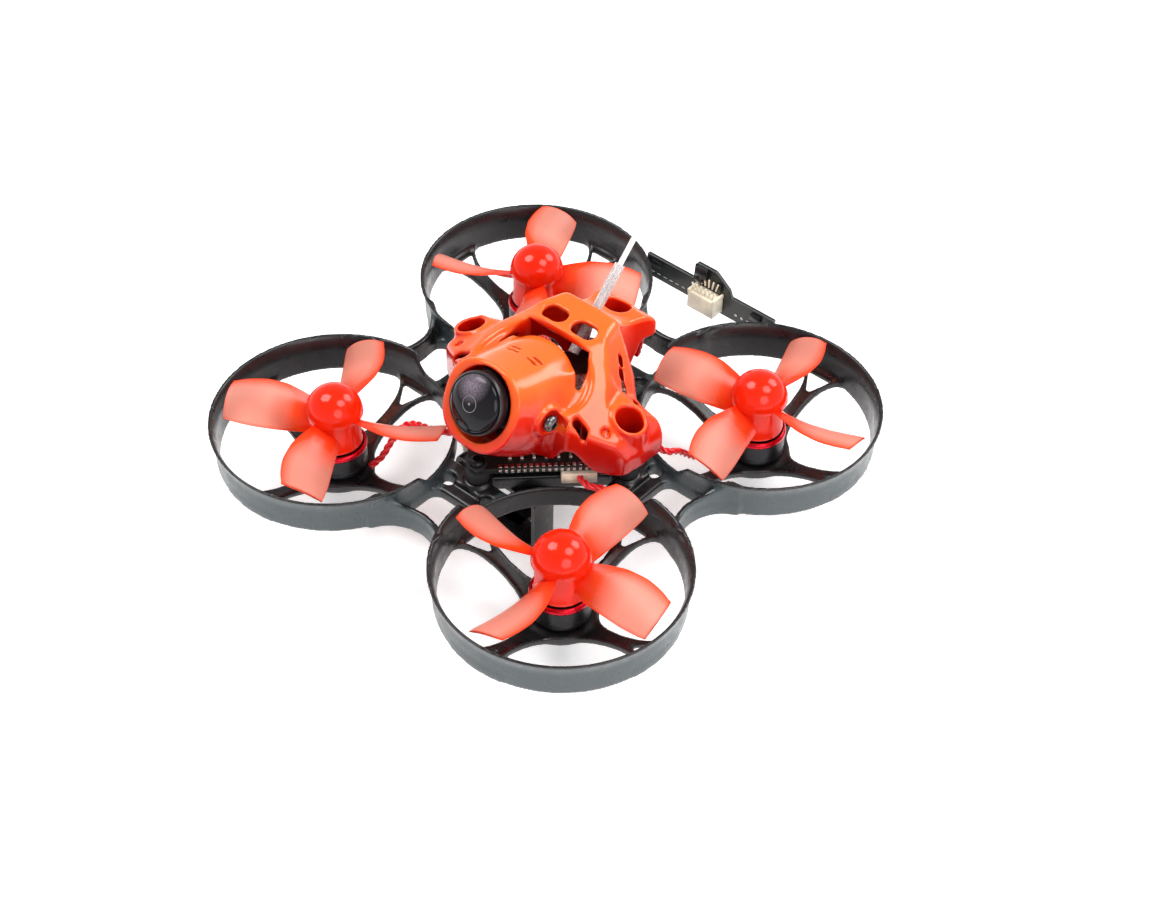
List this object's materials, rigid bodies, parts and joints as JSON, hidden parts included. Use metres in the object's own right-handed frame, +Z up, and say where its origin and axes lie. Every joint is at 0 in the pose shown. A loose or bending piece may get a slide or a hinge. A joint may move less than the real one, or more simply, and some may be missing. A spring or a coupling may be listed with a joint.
{
  "type": "ducted micro quadcopter",
  "caption": "Palm-sized ducted quadcopter: moulded frame, multi-blade propellers on bell motors, tilting nose camera under a shell canopy, and a rear light board.",
  "frame": {"origin": "centre of the battery tray's underside, which the craft stands on", "axes": "+Z up, -Y towards the nose and its camera, +X towards the craft's left"},
  "size_m": [0.0978, 0.0978, 0.0456],
  "materials": {
    "frame": "moulded black plastic, satin",
    "propeller": "translucent red, polished",
    "canopy": "translucent orange, soft gloss",
    "motor_bell": "black anodised",
    "motor_base": "black, satin",
    "steel": "darkened machine screws",
    "wire": "soft red insulation",
    "board": "black solder mask",
    "chip": "moulded epoxy",
    "connector": "cream nylon",
    "rubber": "soft black rubber",
    "camera": "black, satin",
    "lens": "coated wide-angle glass, nearly black",
    "aerial": "white wire in a clear sleeve"
  },
  "bodies": {
    "airframe": {"duct_front_left": "frame", "duct_front_right": "frame", "duct_rear_left": "frame", "duct_rear_right": "frame", "centre_frame": "frame", "battery_tray": "frame", "motor_stator_front_left": "motor_base", "motor_stator_front_right": "motor_base", "motor_stator_rear_left": "motor_base", "motor_stator_rear_right": "motor_base", "motor_screw_front_left_1": "steel", "motor_screw_front_left_2": "steel", "motor_screw_front_left_3": "steel", "motor_screw_front_right_1": "steel", "motor_screw_front_right_2": "steel", "motor_screw_front_right_3": "steel", "motor_screw_rear_left_1": "steel", "motor_screw_rear_left_2": "steel", "motor_screw_rear_left_3": "steel", "motor_screw_rear_right_1": "steel", "motor_screw_rear_right_2": "steel", "motor_screw_rear_right_3": "steel", "flight_board": "board", "processor_chip": "chip", "radio_board": "board", "rubber_grommet_left": "rubber", "rubber_grommet_rear": "rubber", "rubber_grommet_right": "rubber", "rubber_grommet_front": "rubber", "stack_screw_left": "steel", "stack_screw_rear": "steel", "stack_screw_right": "steel", "stack_screw_front": "steel", "motor_plug_front_left": "connector", "motor_plug_front_right": "connector", "motor_plug_rear_left": "connector", "motor_plug_rear_right": "connector", "motor_lead_front_left": "wire", "motor_lead_front_right": "wire", "motor_lead_rear_left": "wire", "motor_lead_rear_right": "wire", "canopy": "canopy", "aerial_sleeve": "aerial", "aerial_wire": "aerial", "rear_light_board": "board", "rear_board_socket": "connector"},
    "rotor_front_left": {"motor_rotor_front_left": "motor_bell", "propeller_front_left": "propeller"},
    "rotor_front_right": {"motor_rotor_front_right": "motor_bell", "propeller_front_right": "propeller"},
    "rotor_rear_left": {"motor_rotor_rear_left": "motor_bell", "propeller_rear_left": "propeller"},
    "rotor_rear_right": {"motor_rotor_rear_right": "motor_bell", "propeller_rear_right": "propeller"},
    "camera": {"camera_housing": "camera", "lens_barrel": "camera", "lens_glass": "lens", "camera_screw_left": "steel", "camera_screw_right": "steel"}
  },
  "joints": [
    {"name": "spin_front_left", "type": "hinge", "parent": "airframe", "child": "rotor_front_left", "pos_m": [0.02652, -0.02652, 0.0117], "axis": [0, 0, 1], "continuous": true},
    {"name": "spin_front_right", "type": "hinge", "parent": "airframe", "child": "rotor_front_right", "pos_m": [-0.02652, -0.02652, 0.0117], "axis": [0, 0, 1], "continuous": true},
    {"name": "spin_rear_left", "type": "hinge", "parent": "airframe", "child": "rotor_rear_left", "pos_m": [0.02652, 0.02652, 0.0117], "axis": [0, 0, 1], "continuous": true},
    {"name": "spin_rear_right", "type": "hinge", "parent": "airframe", "child": "rotor_rear_right", "pos_m": [-0.02652, 0.02652, 0.0117], "axis": [0, 0, 1], "continuous": true},
    {"name": "camera_tilt", "type": "hinge", "parent": "airframe", "child": "camera", "pos_m": [0, -0.0106, 0.0298], "axis": [1, 0, 0], "range_deg": [-5, 5]}
  ]
}
